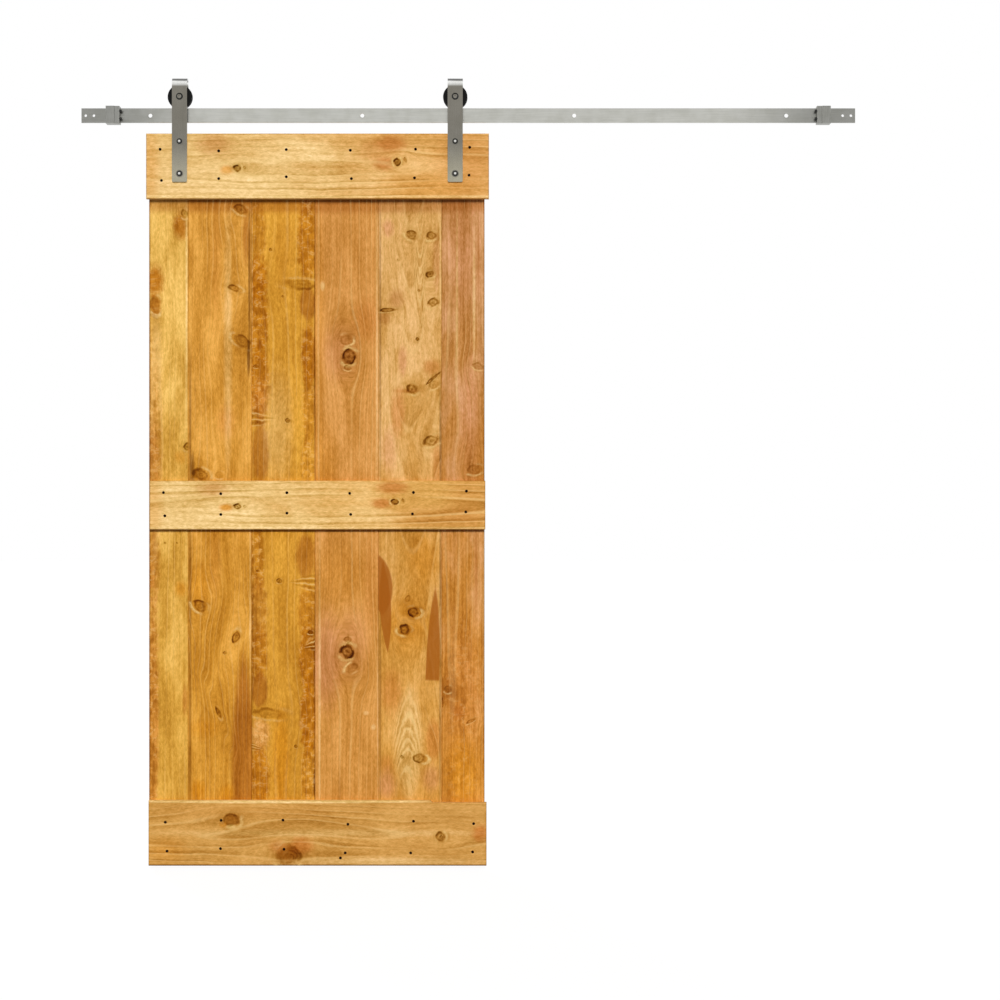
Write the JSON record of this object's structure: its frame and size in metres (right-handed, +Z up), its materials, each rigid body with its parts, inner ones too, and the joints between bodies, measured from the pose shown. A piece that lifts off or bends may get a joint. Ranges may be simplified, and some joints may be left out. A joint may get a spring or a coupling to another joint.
{
  "type": "sliding barn door",
  "caption": "Plank barn door with three face rails, hung on a flat steel track by strap hangers with grooved wheels, and stopped at each end by a rubber bumper collar.",
  "frame": {"origin": "middle of the row of wall holes, on the back face of the track", "axes": "+X along the track to the right, +Y back to the wall, +Z up"},
  "size_m": [2.255, 0.0563, 2.2937],
  "materials": {
    "pine_gold": "stained knotty pine, satin",
    "pine_honey": "stained knotty pine, satin",
    "pine_amber": "stained knotty pine with amber streaks, satin",
    "pine_tan": "stained knotty pine, satin",
    "pine_straw": "stained knotty pine, satin",
    "pine_rose": "stained knotty pine, reddish, satin",
    "pine_rail": "stained knotty pine, satin",
    "black_screw": "black coated steel",
    "track_steel": "brushed along its length",
    "strap_steel": "brushed along its length",
    "bolt_steel": "turned, satin",
    "bearing_steel": "ground and polished",
    "wheel_nylon": "turned black nylon",
    "bumper_rubber": "matt black rubber"
  },
  "bodies": {
    "track": {"track_bar": "track_steel", "left_stop_collar": "track_steel", "left_stop_bumpers": "bumper_rubber", "left_stop_set_screws": "black_screw", "right_stop_collar": "track_steel", "right_stop_bumpers": "bumper_rubber", "right_stop_set_screws": "black_screw"},
    "door": {"plank_1": "pine_gold", "plank_2": "pine_honey", "plank_3": "pine_amber", "plank_4": "pine_tan", "plank_5": "pine_straw", "plank_6": "pine_rose", "top_rail": "pine_rail", "top_rail_screws": "black_screw", "middle_rail": "pine_rail", "middle_rail_screws": "black_screw", "bottom_rail": "pine_rail", "bottom_rail_screws": "black_screw", "left_hanger_strap": "strap_steel", "left_bearing_inner_ring": "bearing_steel", "left_axle_bolt": "bolt_steel", "left_axle_spacers": "bolt_steel", "left_axle_nut": "bolt_steel", "left_strap_bolts": "bolt_steel", "left_strap_washers": "bolt_steel", "left_strap_nuts": "bolt_steel", "right_hanger_strap": "strap_steel", "right_bearing_inner_ring": "bearing_steel", "right_axle_bolt": "bolt_steel", "right_axle_spacers": "bolt_steel", "right_axle_nut": "bolt_steel", "right_strap_bolts": "bolt_steel", "right_strap_washers": "bolt_steel", "right_strap_nuts": "bolt_steel"},
    "left_wheel": {"left_wheel": "wheel_nylon", "left_bearing_outer_ring": "bearing_steel", "left_bearing_balls": "bearing_steel", "left_bearing_shields": "bolt_steel"},
    "right_wheel": {"right_wheel": "wheel_nylon", "right_bearing_outer_ring": "bearing_steel", "right_bearing_balls": "bearing_steel", "right_bearing_shields": "bolt_steel"}
  },
  "joints": [
    {"name": "door_slide", "type": "slide", "parent": "track", "child": "door", "axis": [1, 0, 0], "range_m": [-0.146, 1.024]},
    {"name": "left_wheel_spin", "type": "hinge", "parent": "door", "child": "left_wheel", "pos_m": [-0.84, -0.003, 0.0537], "axis": [0, 1, 0], "continuous": true},
    {"name": "right_wheel_spin", "type": "hinge", "parent": "door", "child": "right_wheel", "pos_m": [-0.038, -0.003, 0.0537], "axis": [0, 1, 0], "continuous": true}
  ],
  "couplings": [
    {"joint": "left_wheel_spin", "follows": "door_slide", "rad_per_m": 30.769},
    {"joint": "right_wheel_spin", "follows": "door_slide", "rad_per_m": 30.769}
  ]
}
